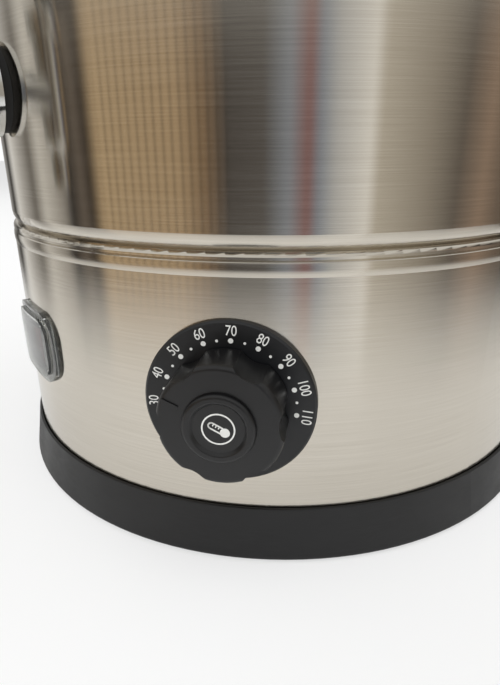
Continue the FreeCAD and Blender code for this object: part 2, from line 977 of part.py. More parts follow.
def tap_inner_seal():
    low = pot_inner - tap_inner_seal_wall
    ring = pipe(tap_shank_radius, tap_seal_radius, (0, 0, low), (0, 0, pot_inner))
    return on_body(ring.common(body_core(pot_inner)), 0, tap_height)


def tap_lock_nut():
    top = pot_inner - tap_inner_seal_wall
    ring = hex_slab(tap_lock_width, top - tap_lock_wall, top)
    return on_body(ring.cut(rod(tap_shank_radius, (0, 0, 0), (0, 0, top))), 0, tap_height)


def tap_body():
    inside = pot_inner - tap_inner_seal_wall - tap_lock_wall - tap_shank_end
    face = pot_radius + tap_seal_wall
    flange_top = face + tap_flange_wall
    level = turned(
        (0, inside), (tap_shank_radius, inside, 0.8), (tap_shank_radius, face), (tap_flange_radius, face),
        (tap_flange_radius, flange_top, tap_flange_round), (tap_neck_radius, flange_top, tap_neck_round),
        (tap_neck_radius, spout_line), (0, spout_line),
    )
    bottom = tap_height - barrel_bottom
    outlet = tap_height - spout_length
    barrel = turned(
        (0, outlet), (spout_radius, outlet, 0.8), (spout_radius, bottom - spout_step, spout_step),
        (barrel_radius, bottom, spout_step), (barrel_radius, bonnet_bottom), (0, bonnet_bottom),
    )
    chamber = turned(
        (0, outlet), (spout_bore_radius, outlet), (spout_bore_radius, seat_top - seat_wall),
        (seat_hole_radius, seat_top - seat_wall), (seat_hole_radius, seat_top),
        (chamber_radius, seat_top), (chamber_radius, bonnet_bottom), (0, bonnet_bottom),
    )
    waterway = rod(tap_waterway_radius, (0, -inside, tap_height), (0, -spout_line, tap_height))
    solid = on_body(level, 0, tap_height).fuse(lifted(barrel, y=-spout_line))
    return solid.cut([lifted(chamber, y=-spout_line), waterway])


def tap_bonnet():
    spigot_bottom = bonnet_bottom - bonnet_spigot
    hole = stem_radius + stem_clearance
    cap = turned(
        (hole, spigot_bottom), (chamber_radius - spigot_clearance, spigot_bottom),
        (chamber_radius - spigot_clearance, bonnet_bottom), (bonnet_radius, bonnet_bottom, 0.8),
        (bonnet_radius, bonnet_top, bonnet_round), (hole, bonnet_top),
    )
    sides = [
        (pivot_line - ear_radius, bonnet_top - 1),
        (pivot_line + ear_radius, bonnet_top - 1),
        (pivot_line + ear_radius, pivot_level + ear_radius, ear_radius * 0.98),
        (pivot_line - ear_radius, pivot_level + ear_radius, ear_radius * 0.98),
    ]
    ears = side_slab(*sides, half_width=ear_gap / 2 + ear_wall).cut(
        side_slab(*sides, half_width=ear_gap / 2)
    )
    reach = rod(
        bonnet_radius - bonnet_round / 2, (0, -spout_line, bonnet_bottom), (0, -spout_line, pivot_level * 2)
    )
    pin = pivot_pin(pivot_radius)
    return lifted(cap, y=-spout_line).fuse(ears.common(reach)).cut(pin)


def pivot_pin(radius):
    reach = ear_gap / 2 + ear_wall
    return rod(radius, (-reach, -pivot_line, pivot_level), (reach, -pivot_line, pivot_level))


def tap_lever_pin():
    return pivot_pin(pivot_radius)


def tap_lever():
    hub, tip = lever_hub_radius, lever_tip_radius
    start, end = pivot_line, pivot_line + lever_length
    rise = pivot_level + lever_rise
    half = ear_gap / 2 - lever_side_gap
    side = side_slab(
        (start - hub, pivot_level - hub, hub * 0.98),
        (start + 2 * hub, pivot_level - hub, 3 * hub),
        (end, rise - tip, tip * 0.9),
        (end, rise + tip, tip * 0.9),
        (start + 2 * hub, pivot_level + hub, 3 * hub),
        (start - hub, pivot_level + hub, hub * 0.98),
        half_width=lever_tip_width / 2,
    )
    wide, neck = lever_tip_width / 2, start + bonnet_radius - lever_arm + 2 * hub
    spread = -neck - lever_spread
    plan = slab(
        (-half, -start + hub), (-half, -neck, lever_corner), (-wide, spread, lever_corner),
        (-wide, -end, wide * 0.7),
        (wide, -end, wide * 0.7), (wide, spread, lever_corner), (half, -neck, lever_corner),
        (half, -start + hub),
        low=bonnet_top, high=rise + 2 * tip,
    )
    prong = [
        (spout_line - prong_radius, pivot_level - prong_radius, prong_radius * 0.98),
        (start, pivot_level - prong_radius), (start, pivot_level + prong_radius),
        (spout_line - prong_radius, pivot_level + prong_radius, prong_radius * 0.98),
    ]
    inner = stem_radius + prong_gap
    fork = side_slab(*prong, half_width=inner + prong_width).cut(side_slab(*prong, half_width=inner))
    bore = pivot_pin(pivot_radius + pivot_clearance)
    return side.common(plan).fuse(fork).cut(bore)


def tap_stem():
    low = seat_top + cup_gap + cup_floor
    collar = seat_top + cup_gap + cup_height
    stem = turned(
        (0, low), (stem_radius, low), (stem_radius, collar), (cup_radius - collar_inset, collar),
        (cup_radius - collar_inset, collar + collar_wall), (stem_radius, collar + collar_wall),
        (stem_radius, stem_head_bottom + stem_head_height / 2), (0, stem_head_bottom + stem_head_height / 2),
    )
    return lifted(stem, y=-spout_line)


def stem_head():
    low, high = stem_head_bottom, stem_head_bottom + stem_head_height
    middle = low + stem_head_height / 2
    head = turned(
        (stem_radius, low), (stem_head_radius, low), (stem_head_radius, high, stem_head_height * 0.7),
        (0, high), (0, middle), (stem_radius, middle),
    )
    return lifted(head, y=-spout_line)


def valve_cup():
    low = seat_top + cup_gap
    cup = turned(
        (0, low), (cup_radius, low, 0.8), (cup_radius, low + cup_height), (stem_radius, low + cup_height),
        (stem_radius, low + cup_floor), (0, low + cup_floor),
    )
    return lifted(cup, y=-spout_line)


def tap_spring():
    low = seat_top + cup_gap + cup_height + collar_wall + spring_wire
    high = bonnet_bottom - bonnet_spigot - spring_wire
    helix = Part.makeHelix((high - low) / spring_turns, high - low, spring_radius)
    section = Part.Wire([Part.makeCircle(spring_wire, Vector(spring_radius, 0, 0), Vector(0, 1, 0))])
    spring = Part.Wire(helix).makePipeShell([section], True, True)
    return lifted(spring, y=-spout_line, z=low)


# Handles, drawn with Z outward through the middle of the grip


def handle_lean():
    return degrees(asin(handle_span / 2 / pot_radius))


def handle_screw_holes():
    hole = rod(m5_radius + hole_clearance, (0, 0, pot_radius - 10), (0, 0, pot_radius + 10))
    return [
        on_body(hole, side + lean, handle_height)
        for side in (-90, 90) for lean in (-handle_lean(), handle_lean())
    ]


def carrying_handle(azimuth):
    half = handle_span / 2
    start, out = pot_radius - 2 * handle_radius, pot_radius + handle_reach
    grip = tube_along(
        [(-half, 0, start), (-half, 0, out), (half, 0, out), (half, 0, start)], handle_radius, handle_bend
    )
    feet, threads = [], []
    for lean in (-handle_lean(), handle_lean()):
        foot = turned(
            (0, pot_radius - handle_foot_wall), (handle_foot_radius, pot_radius - handle_foot_wall),
            (handle_foot_radius, pot_radius + handle_foot_wall, handle_foot_wall / 2),
            (0, pot_radius + handle_foot_wall),
        )
        thread = rod(m5_radius, (0, 0, 0), (0, 0, pot_radius + handle_screw_depth))
        for made, shape in ((feet, foot), (threads, thread)):
            made.append(shape.copy().rotate(Vector(0, 0, 0), Vector(0, 1, 0), lean))
    solid = grip.fuse(feet).cut([body_core(pot_radius)] + threads)
    return on_body(solid, azimuth, handle_height)


def left_handle():
    return carrying_handle(-90)


def right_handle():
    return carrying_handle(90)


def washer_seat():
    return sqrt(pot_inner ** 2 - handle_washer_radius ** 2)


def at_handle_screws(shape):
    return group([
        on_body(shape, side + lean, handle_height)
        for side in (-90, 90) for lean in (-handle_lean(), handle_lean())
    ])


def handle_washers():
    seat = washer_seat()
    return at_handle_screws(
        pipe(m5_radius, handle_washer_radius, (0, 0, seat - handle_washer_wall), (0, 0, seat))
    )


def handle_screws():
    head = washer_seat() - handle_washer_wall
    length = pot_radius + handle_screw_depth - 1 - head
    return at_handle_screws(lifted(screw(m5_radius, m5_head, m5_head_height, length), z=head))


# Lid


def lid():
    low, high = lid_flange_bottom, lid_flange_bottom + lid_wall
    ledge = lid_collar_outer - lid_wall - lid_ledge
    corner, arc = tangent_corner(ledge, lid_rise)
    cover = turned(
        (0, lid_top - lid_wall), (corner, lid_top - lid_wall, arc), (ledge, low),
        (lid_collar_outer - lid_wall, low), (lid_collar_outer - lid_wall, low - lid_collar_depth),
        (lid_collar_outer, low - lid_collar_depth), (lid_collar_outer, low), (lid_inner, low),
        (lid_inner, low - lid_edge_depth), (lid_radius, low - lid_edge_depth), (lid_radius, high, lid_edge_round),
        (ledge, high), (corner, lid_top, arc), (0, lid_top),
    )
    bolt = rod(m5_radius + hole_clearance, (0, 0, low), (0, 0, lid_top))
    vent = rod(vent_radius, (0, -vent_place, low), (0, -vent_place, lid_top))
    return cover.cut([bolt, vent])


def lid_knob():
    foot, high = lid_knob_foot, lid_top + lid_knob_height
    neck_low, neck_high = (lid_top + level for level in lid_knob_neck)
    under_round, crown_round = lid_knob_head_rounds
    knob = turned(
        (0, lid_top), (foot, lid_top, lid_knob_foot_round),
        (foot, lid_top + lid_knob_foot_height, lid_knob_foot_round),
        (lid_knob_waist, neck_low, lid_knob_neck_round), (lid_knob_waist, neck_high, lid_knob_neck_round),
        (lid_knob_radius, high - lid_knob_head, under_round), (lid_knob_radius, high, crown_round),
        (0, high),
    )
    return knob.cut(rod(m5_radius, (0, 0, lid_top), (0, 0, lid_top + lid_knob_screw_depth)))


def lid_washer_seat():
    """The dome's underside where the washer's rim meets it"""
    _, arc = tangent_corner(lid_collar_outer - lid_wall - lid_ledge, lid_rise)
    return lid_top - lid_wall - arc + sqrt(arc ** 2 - lid_washer_radius ** 2)


def lid_knob_washer():
    top = lid_washer_seat()
    return pipe(m5_radius, lid_washer_radius, (0, 0, top - lid_washer_wall), (0, 0, top))


def lid_knob_screw():
    head = lid_washer_seat() - lid_washer_wall
    length = lid_top + lid_knob_screw_depth - 1 - head
    return lifted(screw(m5_radius, m5_head, m5_head_height, length), z=head)


PARTS = [
    base_ring, foot_ring, bottom_plate, base_screws, base_nuts, skirt_shell,
    boiling_pot, pot_studs, pot_nuts, heat_plate, heating_element, thermal_cutout,
    thermostat_bracket, thermostat_body, thermostat_screws, thermostat_bulb, bulb_clip,
    capillary_tube, dial_plate, thermostat_spindle, thermostat_knob, knob_cap,
    switch_housing, switch_terminals, rocker_button, switch_cover,
    gland_body, gland_dome_nut, gland_seal, gland_lock_nut,
    terminal_block, terminal_screws, earth_stud,
    tap_outer_seal, tap_inner_seal, tap_lock_nut, tap_body, tap_bonnet, tap_lever_pin,
    tap_lever, tap_stem, stem_head, valve_cup, tap_spring,
    left_handle, right_handle, handle_washers, handle_screws,
    lid, lid_knob, lid_knob_washer, lid_knob_screw,
]

os.makedirs("parts", exist_ok=True)
for make in PARTS:
    make().exportStep("parts/%s.step" % make.__name__)
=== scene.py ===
import json
import math

import bmesh
import bpy
from mathutils import Matrix, Vector


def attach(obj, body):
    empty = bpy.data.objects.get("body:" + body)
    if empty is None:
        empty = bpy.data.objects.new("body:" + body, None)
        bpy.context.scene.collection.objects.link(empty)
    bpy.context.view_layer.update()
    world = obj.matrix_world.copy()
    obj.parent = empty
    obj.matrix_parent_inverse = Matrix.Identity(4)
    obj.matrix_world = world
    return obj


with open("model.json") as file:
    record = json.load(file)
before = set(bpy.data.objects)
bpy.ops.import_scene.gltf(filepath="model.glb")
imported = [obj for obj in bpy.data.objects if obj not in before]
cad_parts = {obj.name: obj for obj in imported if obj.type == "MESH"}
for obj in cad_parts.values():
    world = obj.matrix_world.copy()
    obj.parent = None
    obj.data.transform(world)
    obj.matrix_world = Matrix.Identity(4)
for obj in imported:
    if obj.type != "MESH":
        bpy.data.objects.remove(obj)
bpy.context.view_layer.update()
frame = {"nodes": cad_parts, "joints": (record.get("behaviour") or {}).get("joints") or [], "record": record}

# The white print, in metres: how far it is lifted off its face, and how thick it is
PRINT_LIFT = 0.00003
PRINT_THICKNESS = 0.00006

# The dial: its face's distance from the body's axis, its marks in degrees Celsius, and their places
DIAL_FACE = 0.142
MARK_STEP = 10
DIAL_MARKS = range(30, 111, MARK_STEP)
DIAL_TOP_MARK = 70
DIAL_TOP_ANGLE = 87.4
DEGREES_PER_MARK = 23.3
DOT_CIRCLE = 0.0250
BIG_DOT = 0.00095
SMALL_DOT = 0.00052
NUMBER_CIRCLE = 0.0286
NUMBER_HEIGHT = 0.0038
NUMBER_NARROWING = 0.80
NUMBER_SPACING = 0.98
DIGIT_SHARE_OF_FONT = 0.69

# The sign on the knob's cap: its face's distance from the body's axis, and a thermometer in a circle
CAP_DISH = 0.1604
SIGN_RADIUS = 0.0059
SIGN_LINE = 0.00055
SIGN_TURN = 62.0
TUBE_HALF_WIDTH = 0.0011
TUBE_LOW = -0.0012
TUBE_HIGH = 0.0026
BULB_RADIUS = 0.00175
BULB_HEIGHT = -0.0026
TICKS = 3
TICK_PITCH = 0.0011
TICK_LENGTH = 0.0009
TICK_LINE = SIGN_LINE * 0.7

# Steps in the round parts of the print
DOT_STEPS = 24
RING_STEPS = 64
ARCH_STEPS = 9
BAR_END_STEPS = 8

# The photograph's camera: its place round the body, its turn, tilt and roll, and its focal length
CAMERA_AZIMUTH = math.radians(52.5)
CAMERA_DISTANCE = 0.31717
CAMERA_HEIGHT = 0.1597
CAMERA_YAW = -0.0497
CAMERA_PITCH = 0.3572
CAMERA_ROLL = -0.0090
CAMERA_FOCAL_PIXELS = 536.9
PHOTO_HEIGHT = 685
SENSOR = 36.0

# The middle of what noise gives, which a finish spreads between its two tones or roughnesses
NOISE_MIDDLE = {"From Min": 0.3, "From Max": 0.7}

# Grain along X, Y and Z, or alike along all three, in waves a metre. The brush lines are about 0.4 mm
# apart up the body and 45 mm long. Real ones are finer, and these are as coarse as it takes to show.
BRUSH_LINES = (22, 22, 2600)
STEEL_CLOUDS = (9, 9, 5)
PLATING_GRAIN = (300, 300, 300)
POLISHED_GRAIN = (40, 40, 40)
MOULD_CLOUDS = (38, 38, 60)
SCUFF_CLOUDS = (30, 30, 55)
SCUFF_RUBS = (120, 120, 900)
SILICONE_CLOUDS = (60, 60, 60)
LATHE_RINGS = 1500.0
MOULD_GRIT = 1600.0
RING_GRIT = 1500.0
COARSE_GRIT = 900.0


def linear(hex_colour, alpha=1.0):
    """An sRGB hex colour as the linear values that Blender wants"""
    parts = [int(hex_colour[k:k + 2], 16) / 255 for k in (1, 3, 5)]
    return [c / 12.92 if c <= 0.04045 else ((c + 0.055) / 1.055) ** 2.4 for c in parts] + [alpha]


# Node building


def feed(tree, node, inputs):
    """Gives each input a value, or a link from another node's output"""
    for name, value in inputs.items():
        if isinstance(value, bpy.types.NodeSocket):
            tree.links.new(value, node.inputs[name])
        else:
            node.inputs[name].default_value = value


def add(tree, kind, inputs=None, stops=(), **settings):
    """Adds a node with its settings, its inputs and, for a ramp, its stops of place and colour"""
    node = tree.nodes.new(kind)
    for name, value in settings.items():
        setattr(node, name, value)
    feed(tree, node, inputs or {})
    if stops:
        made = node.color_ramp.elements
        made.remove(made[1])
        made[0].position = stops[0][0]
        made[0].color = linear(stops[0][1])
        for place, colour in stops[1:]:
            made.new(place).color = linear(colour)
    return node


def new_material(name):
    material = bpy.data.materials.new(name)
    material.use_nodes = True
    tree = material.node_tree
    return material, tree, tree.nodes["Principled BSDF"]


def object_noise(tree, waves, detail=2.0, roughness=0.5):
    """Noise that stays with the piece, with its waves a metre given for X, Y and Z"""
    point = add(tree, "ShaderNodeTexCoord").outputs["Object"]
    vector = add(tree, "ShaderNodeMapping", {"Vector": point, "Scale": waves}).outputs["Vector"]
    inputs = {"Vector": vector, "Scale": 1.0, "Detail": detail, "Roughness": roughness}
    return add(tree, "ShaderNodeTexNoise", inputs).outputs["Fac"]


def upright_tangent(tree):
    """The direction across the brush lines, in which a reflection is drawn out"""
    point = add(tree, "ShaderNodeTexCoord").outputs["Object"]
    around = add(tree, "ShaderNodeVectorMath", {0: (0, 0, 1), 1: point}, operation="CROSS_PRODUCT")
    normal = add(tree, "ShaderNodeNewGeometry").outputs["Normal"]
    upright = add(tree, "ShaderNodeVectorMath", {0: normal, 1: around.outputs[0]}, operation="CROSS_PRODUCT")
    return upright.outputs[0]


# Materials


def brushed_stainless():
    """Sheet steel brushed round the body: grey-beige, its reflections drawn up and down"""
    material, tree, shader = new_material("brushed_stainless")
    grain = object_noise(tree, BRUSH_LINES, 3.0, 0.6)
    cloud = object_noise(tree, STEEL_CLOUDS)
    tone = add(tree, "ShaderNodeValToRGB", {"Fac": grain}, [(0.25, "#C6BFB3"), (0.75, "#D6D0C5")])
    both = add(tree, "ShaderNodeMath", {0: grain, 1: cloud}).outputs[0]
    rough = add(tree, "ShaderNodeMapRange", {
        "Value": both, "From Min": 0.7, "From Max": 1.3, "To Min": 0.10, "To Max": 0.15})
    feed(tree, shader, {
        "Metallic": 1.0, "Anisotropic": 0.97, "Base Color": tone.outputs["Color"],
        "Roughness": rough.outputs["Result"], "Tangent": upright_tangent(tree)})
    return material


def spun_stainless():
    """The lid's pressed sheet, spun on a lathe: faint rings round its middle"""
    material, tree, shader = new_material("spun_stainless")
    point = add(tree, "ShaderNodeTexCoord").outputs["Object"]
    flat = add(tree, "ShaderNodeVectorMath", {0: point, 1: (1, 1, 0)}, operation="MULTIPLY").outputs[0]
    radius = add(tree, "ShaderNodeVectorMath", {0: flat}, operation="LENGTH").outputs["Value"]
    waves = add(tree, "ShaderNodeMath", {0: radius, 1: LATHE_RINGS}, operation="MULTIPLY").outputs[0]
    rings = add(tree, "ShaderNodeTexNoise", {"W": waves, "Scale": 1.0, "Detail": 3.0},
                noise_dimensions="1D").outputs["Fac"]
    tone = add(tree, "ShaderNodeValToRGB", {"Fac": rings}, [(0.3, "#B9B4AA"), (0.7, "#C9C4BA")])
    rough = add(tree, "ShaderNodeMapRange", {**NOISE_MIDDLE, "Value": rings, "To Min": 0.24, "To Max": 0.34})
    relief = add(tree, "ShaderNodeBump", {"Height": rings, "Strength": 0.12, "Distance": 0.00005})
    feed(tree, shader, {
        "Metallic": 1.0, "Base Color": tone.outputs["Color"], "Roughness": rough.outputs["Result"],
        "Normal": relief.outputs["Normal"]})
    return material


def plain_metal(name, first, second, rough, waves=PLATING_GRAIN, spread=0.06):
    """Cast, drawn or plated metal with a fine even grain"""
    material, tree, shader = new_material(name)
    spots = object_noise(tree, waves, 3.0)
    tone = add(tree, "ShaderNodeValToRGB", {"Fac": spots}, [(0.3, first), (0.7, second)])
    sheen = add(tree, "ShaderNodeMapRange", {
        **NOISE_MIDDLE, "Value": spots, "To Min": rough - spread / 2, "To Max": rough + spread / 2})
    relief = add(tree, "ShaderNodeBump", {"Height": spots, "Strength": 0.05, "Distance": 0.00004})
    feed(tree, shader, {
        "Metallic": 1.0, "Base Color": tone.outputs["Color"], "Roughness": sheen.outputs["Result"],
        "Normal": relief.outputs["Normal"]})
    return material


def moulded(name, first, second, rough, grit=MOULD_GRIT, bump=0.12, spread=0.08):
    """Moulded plastic or rubber: one colour with faint clouds, and the mould's fine grain"""
    material, tree, shader = new_material(name)
    grain = object_noise(tree, (grit, grit, grit))
    cloud = object_noise(tree, MOULD_CLOUDS, 4.0, 0.65)
    tone = add(tree, "ShaderNodeValToRGB", {"Fac": cloud}, [(0.3, first), (0.7, second)])
    sheen = add(tree, "ShaderNodeMapRange", {
        **NOISE_MIDDLE, "Value": cloud, "To Min": rough - spread, "To Max": rough + spread})
    relief = add(tree, "ShaderNodeBump", {"Height": grain, "Strength": bump, "Distance": 0.00006})
    feed(tree, shader, {
        "Base Color": tone.outputs["Color"], "Roughness": sheen.outputs["Result"],
        "Normal": relief.outputs["Normal"]})
    return material


def scuffed_abs():
    """The base ring's ABS: satin black, rubbed a little greyer in places"""
    material, tree, shader = new_material("scuffed_abs")
    cloud = object_noise(tree, SCUFF_CLOUDS, 5.0, 0.7)
    rub = object_noise(tree, SCUFF_RUBS, 4.0, 0.7)
    both = add(tree, "ShaderNodeMath", {0: cloud, 1: rub}, operation="MULTIPLY").outputs[0]
    grain = object_noise(tree, (RING_GRIT, RING_GRIT, RING_GRIT))
    tone = add(tree, "ShaderNodeValToRGB", {"Fac": both}, [(0.22, "#0A0A0B"), (0.52, "#1A1A1B")])
    sheen = add(tree, "ShaderNodeMapRange", {**NOISE_MIDDLE, "Value": cloud, "To Min": 0.38, "To Max": 0.56})
    relief = add(tree, "ShaderNodeBump", {"Height": grain, "Strength": 0.15, "Distance": 0.00006})
    feed(tree, shader, {
        "Base Color": tone.outputs["Color"], "Roughness": sheen.outputs["Result"],
        "Normal": relief.outputs["Normal"]})
    return material


def milky_silicone():
    """The switch's soft cover: milky grey silicone that light passes through"""
    material, tree, shader = new_material("milky_silicone")
    cloud = object_noise(tree, SILICONE_CLOUDS)
    tone = add(tree, "ShaderNodeValToRGB", {"Fac": cloud}, [(0.3, "#B0B2B0"), (0.7, "#BDBEBB")])
    sheen = add(tree, "ShaderNodeMapRange", {**NOISE_MIDDLE, "Value": cloud, "To Min": 0.05, "To Max": 0.10})
    feed(tree, shader, {
        "Base Color": tone.outputs["Color"], "IOR": 1.41, "Transmission Weight": 0.94,
        "Roughness": sheen.outputs["Result"]})
    return material


# The finishes by the record's slots, with the lid's and the print's beside them. Metals are told apart
# by tint and roughness, from mirror-bright chrome to cast aluminium. Plastics run from the rocker's
# gloss, through the knob's satin, to rubber, which hardly shines.
MATERIALS = {
    "brushed_shell": brushed_stainless(),
    "spun_shell": spun_stainless(),
    "bright_steel": plain_metal("polished_chrome", "#CFCFCE", "#DADAD8", 0.07, POLISHED_GRAIN, 0.03),
    "plain_steel": plain_metal("zinc_plate", "#9FA3A6", "#B9BCBC", 0.34),
    "aluminium_plate": plain_metal("cast_aluminium", "#B4B5B6", "#C9CACB", 0.42),
    "brass": plain_metal("turned_brass", "#B5903F", "#CBA659", 0.28),
    "copper_tube": plain_metal("drawn_copper", "#B8724B", "#CB8A60", 0.26),
    "base_plastic": scuffed_abs(),
    "dial_plastic": moulded("dial_abs", "#0F1012", "#17181A", 0.42, spread=0.05),
    "knob_plastic": moulded("knob_abs", "#0D0D0E", "#151516", 0.36, spread=0.05),
    "handle_plastic": moulded("phenolic", "#121212", "#1B1A1A", 0.34),
    "switch_plastic": moulded("switch_nylon", "#161617", "#1E1E1F", 0.45),
    "case_plastic": moulded("thermostat_bakelite", "#2A211C", "#372C25", 0.5),
    "block_plastic": moulded("terminal_nylon", "#D8D2C2", "#E2DDCF", 0.45),
    "red_plastic": moulded("red_polycarbonate", "#A01812", "#B4231A", 0.22, bump=0.03),
    "black_rubber": moulded("black_rubber", "#141414", "#1F1F1F", 0.75, COARSE_GRIT, 0.3),
    "white_silicone": moulded("white_silicone", "#CFCCC2", "#DCD9D0", 0.5),
    "clear_silicone": milky_silicone(),
    "white_print": moulded("pad_print", "#D9D9D4", "#E4E4E0", 0.55, COARSE_GRIT, 0.05),
}


def paint(piece, material):
    piece.data.materials.clear()
    piece.data.materials.append(material)


def dress_nodes():
    slots = {part["node"]: part["material_slot"] for part in frame["record"]["subparts"]}
    for name, piece in frame["nodes"].items():
        paint(piece, MATERIALS["spun_shell" if name == "lid" else slots[name]])


# Printed marks, drawn with X to the right, Y up and Z outward, then put on the body


def outward_place(joint):
    """A frame at the joint's height: X to the right, Y up and Z outward along the joint's axis"""
    outward = Vector(joint["axis"]).normalized()
    right = Vector((0, 0, 1)).cross(outward)
    turn = Matrix((right, (0, 0, 1), outward)).transposed().to_4x4()
    height = Vector((0, 0, joint["pos_m"][2]))
    return Matrix.Translation(height) @ turn


KNOB_JOINT = next(joint for joint in frame["joints"] if joint["name"] == "knob_turn")
DIAL_PLACE = outward_place(KNOB_JOINT)


def finish_print(name, shape, body):
    bmesh.ops.recalc_face_normals(shape, faces=shape.faces)
    mesh = bpy.data.meshes.new(name)
    shape.to_mesh(mesh)
    shape.free()
    piece = bpy.data.objects.new(name, mesh)
    bpy.context.scene.collection.objects.link(piece)
    paint(piece, MATERIALS["white_print"])
    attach(piece, body)


def polar(radius, degrees):
    return radius * math.cos(math.radians(degrees)), radius * math.sin(math.radians(degrees))


def mark_angle(temperature):
    return DIAL_TOP_ANGLE - (temperature - DIAL_TOP_MARK) / MARK_STEP * DEGREES_PER_MARK


def add_disc(shape, radius, place):
    bmesh.ops.create_cone(
        shape, cap_ends=True, segments=DOT_STEPS, radius1=radius, radius2=radius,
        depth=PRINT_THICKNESS, matrix=Matrix.Translation(place),
    )


def dial_dots():
    """A big dot at each number, and a small one halfway to the next"""
    shape = bmesh.new()
    for step in range(2 * len(DIAL_MARKS) - 1):
        x, y = polar(DOT_CIRCLE, mark_angle(DIAL_MARKS[0] + MARK_STEP / 2 * step))
        add_disc(shape, SMALL_DOT if step % 2 else BIG_DOT, (x, y, DIAL_FACE + PRINT_LIFT))
    shape.transform(DIAL_PLACE)
    finish_print("dial_dots", shape, "urn_body")


def number_mesh(text):
    """A number as a thin solid, in the built-in font, its size set by how high the digits are"""
    curve = bpy.data.curves.new("number", "FONT")
    curve.body = text
    curve.size = NUMBER_HEIGHT / DIGIT_SHARE_OF_FONT
    curve.align_x = "CENTER"
    curve.align_y = "CENTER"
    curve.extrude = PRINT_THICKNESS / 2
    curve.resolution_u = 6
    curve.space_character = NUMBER_SPACING
    holder = bpy.data.objects.new("number", curve)
    bpy.context.scene.collection.objects.link(holder)
    bpy.context.view_layer.update()
    mesh = bpy.data.meshes.new_from_object(holder.evaluated_get(bpy.context.evaluated_depsgraph_get()))
    bpy.data.objects.remove(holder)
    return mesh


def dial_numbers():
    """The numbers stand outside the dots, each with its foot towards the dial's middle"""
    shape = bmesh.new()
    narrowing = Matrix.Diagonal((NUMBER_NARROWING, 1, 1, 1))
    for temperature in DIAL_MARKS:
        angle = mark_angle(temperature)
        place = Matrix.Translation((*polar(NUMBER_CIRCLE, angle), DIAL_FACE + PRINT_LIFT))
        turn = Matrix.Rotation(math.radians(angle - 90), 4, "Z")
        mesh = number_mesh(str(temperature))
        mesh.transform(place @ turn @ narrowing)
        shape.from_mesh(mesh)
    shape.transform(DIAL_PLACE)
    finish_print("dial_numbers", shape, "urn_body")


def add_ring(shape, inner, outer, low):
    """A thin flat ring that stands on a height"""
    high = low + PRINT_THICKNESS
    profile = [(inner, low), (outer, low), (outer, high), (inner, high)]
    made = [shape.verts.new((radius, 0, height)) for radius, height in profile]
    edges = [shape.edges.new(pair) for pair in zip(made, made[1:] + made[:1])]
    bmesh.ops.spin(
        shape, geom=made + edges, cent=(0, 0, 0), axis=(0, 0, 1), angle=math.tau, steps=RING_STEPS,
        use_merge=True, use_duplicate=False,
    )


def add_bar(shape, start, end, width, level):
    """A round-ended printed line between two points"""
    start, end = Vector(start), Vector(end)
    along = (end - start).normalized()
    across = Vector((-along.y, along.x))
    points = []
    for centre, turn in ((end, 0.0), (start, math.pi)):
        for k in range(BAR_END_STEPS + 1):
            angle = turn - math.pi / 2 + math.pi * k / BAR_END_STEPS
            ray = along * math.cos(angle) + across * math.sin(angle)
            points.append(centre + ray * width / 2)
    face = shape.faces.new([shape.verts.new((point.x, point.y, level)) for point in points])
    made = bmesh.ops.extrude_face_region(shape, geom=[face])["geom"]
    lifted = [item for item in made if isinstance(item, bmesh.types.BMVert)]
    bmesh.ops.translate(shape, verts=lifted, vec=(0, 0, PRINT_THICKNESS))


def knob_sign():
    """A thermometer in a circle, upright when the knob's pointer points up"""
    shape = bmesh.new()
    level = CAP_DISH + PRINT_LIFT
    add_ring(shape, SIGN_RADIUS - SIGN_LINE, SIGN_RADIUS, level)
    for x in (-TUBE_HALF_WIDTH, TUBE_HALF_WIDTH):
        add_bar(shape, (x, TUBE_LOW), (x, TUBE_HIGH), SIGN_LINE, level)
    arch = [polar(TUBE_HALF_WIDTH, 180 * k / ARCH_STEPS) for k in range(ARCH_STEPS + 1)]
    for start, end in zip(arch, arch[1:]):
        add_bar(shape, (start[0], TUBE_HIGH + start[1]), (end[0], TUBE_HIGH + end[1]), SIGN_LINE, level)
    add_disc(shape, BULB_RADIUS, (0, BULB_HEIGHT, level + PRINT_THICKNESS / 2))
    for k in range(TICKS):
        y = TICK_PITCH * k
        add_bar(shape, (TUBE_HALF_WIDTH, y), (TUBE_HALF_WIDTH - TICK_LENGTH, y), TICK_LINE, level)
    shape.transform(DIAL_PLACE @ Matrix.Rotation(math.radians(SIGN_TURN), 4, "Z"))
    finish_print("knob_sign", shape, "knob")


# The room: a white table, soft light, and the tall dark and pale things that steel mirrors

# The table's half width, how much of its white is its own for the camera, and the distances from the
# urn's middle between which it opens to mirror rays, so that the steel mirrors the room past it
TABLE_REACH = 6.0
TABLE_GLOW = 0.55
TABLE_OPENS = (0.26, 0.62)

# The tones round the room, which fade into each other: 0 degrees is the front and 90 the right side
ROOM = [
    (-180, "#8F8B85"), (-155, "#C9C6C0"), (-125, "#4A4642"), (-105, "#D6D4D0"), (-84, "#3A3835"),
    (-76, "#E8E7E4"), (-58, "#77736E"), (-50, "#D9D7D2"), (-38, "#A09C97"), (-33, "#2C2927"),
    (-27, "#6E655C"), (-22, "#3D352D"), (-16, "#C6AE8C"), (16, "#BCA382"), (26, "#8F775C"),
    (35, "#4E4A47"), (48, "#5B5856"), (57, "#8E95A0"), (64, "#8E6663"), (68, "#8F98A6"),
    (74, "#C4C6C8"), (86, "#F4F3F0"), (90, "#C8C2B6"), (108, "#A19A8F"), (122, "#6D665F"),
    (134, "#9C8878"), (150, "#55504B"),
]

# The slatted screen among them: its edges and its slats' pitch in degrees, and the shade between slats
SLATS = (-16.0, 35.0)
SLAT_PITCH = 3.4
SLAT_SHADE = 0.45
SLAT_EDGES = (0.35, 0.95)

